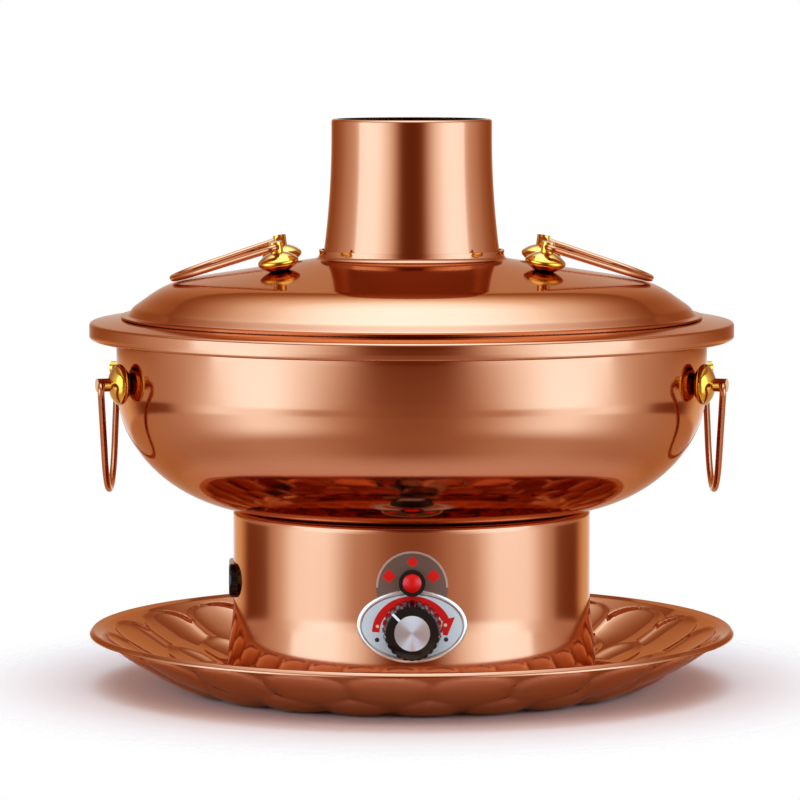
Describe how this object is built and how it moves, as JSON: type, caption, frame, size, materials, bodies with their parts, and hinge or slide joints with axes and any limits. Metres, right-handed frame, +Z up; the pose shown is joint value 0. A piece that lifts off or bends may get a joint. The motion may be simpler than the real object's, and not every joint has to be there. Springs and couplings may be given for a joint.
{
  "type": "chimney hot pot",
  "caption": "Copper-finish electric hot pot with a central chimney, a lift-off ring lid, brass ball studs with swinging bails, a dial control and an embossed drip tray.",
  "frame": {"origin": "centre of the underside of the drip tray", "axes": "+Z up along the chimney; -Y towards the dial; bails hang at +X and -X"},
  "size_m": [0.3216, 0.3216, 0.2815],
  "materials": {
    "copper": "polished, copper-coloured coating on stainless sheet",
    "stainless": "plain mill finish",
    "brass": "polished",
    "cast_aluminium": "as cast",
    "brushed_aluminium": "spun satin",
    "dial_silver": "satin, printed",
    "smoked_label": "clear film, smoked",
    "red_lens": "clear red, polished",
    "black_plastic": "moulded, heat resistant",
    "pale_plastic": "moulded, heat resistant",
    "rubber": "moulded"
  },
  "bodies": {
    "tray": {"drip_tray": "copper"},
    "pot": {"bowl": "copper", "chimney": "copper", "chimney_base_plate": "stainless", "base_shell": "copper", "base_cover": "stainless", "rubber_feet": "rubber", "heating_plate": "cast_aluminium", "heating_element": "stainless", "heat_shield": "stainless", "clamp_studs": "stainless", "clamp_nuts": "stainless", "cover_nuts": "stainless", "sensor_bulb": "stainless", "thermal_fuse": "stainless", "thermostat_body": "pale_plastic", "thermostat_nut": "stainless", "dial_plate": "dial_silver", "indicator_label": "smoked_label", "lamp_bezel": "black_plastic", "lamp_lens": "red_lens", "lamp_body": "pale_plastic", "inlet_body": "black_plastic", "inlet_pins": "stainless", "terminal_block": "pale_plastic", "bowl_ball_left_front": "brass", "bowl_ball_left_rear": "brass", "bowl_ball_right_front": "brass", "bowl_ball_right_rear": "brass"},
    "knob": {"knob": "black_plastic", "knob_insert": "brushed_aluminium", "thermostat_shaft": "stainless"},
    "lid": {"lid_dome": "copper", "lid_collar": "copper", "lid_locating_ring": "copper", "lid_ball_left_front": "brass", "lid_ball_left_rear": "brass", "lid_ball_right_front": "brass", "lid_ball_right_rear": "brass"},
    "bowl_bail_left": {"bowl_bail_left": "copper"},
    "bowl_bail_right": {"bowl_bail_right": "copper"},
    "lid_bail_left": {"lid_bail_left": "copper"},
    "lid_bail_right": {"lid_bail_right": "copper"}
  },
  "joints": [
    {"name": "pot_lift", "type": "slide", "parent": "tray", "child": "pot", "axis": [0, 0, 1], "range_m": [0, 0.06]},
    {"name": "lid_lift", "type": "slide", "parent": "pot", "child": "lid", "axis": [0, 0, 1], "range_m": [0, 0.11]},
    {"name": "knob_turn", "type": "hinge", "parent": "pot", "child": "knob", "pos_m": [0, -0.1, 0.039], "axis": [0, 1, 0], "range_deg": [-45, 135]},
    {"name": "bowl_bail_right_swing", "type": "hinge", "parent": "pot", "child": "bowl_bail_right", "pos_m": [0.15044, 0, 0.1536], "axis": [0, -1, 0], "range_deg": [-20, 150]},
    {"name": "bowl_bail_left_swing", "type": "hinge", "parent": "pot", "child": "bowl_bail_left", "pos_m": [-0.15044, 0, 0.1536], "axis": [0, 1, 0], "range_deg": [-20, 150]},
    {"name": "lid_bail_right_swing", "type": "hinge", "parent": "lid", "child": "lid_bail_right", "pos_m": [0.06638, 0, 0.21971], "axis": [0, -1, 0], "range_deg": [0, 127]},
    {"name": "lid_bail_left_swing", "type": "hinge", "parent": "lid", "child": "lid_bail_left", "pos_m": [-0.06638, 0, 0.21971], "axis": [0, 1, 0], "range_deg": [0, 127]}
  ]
}
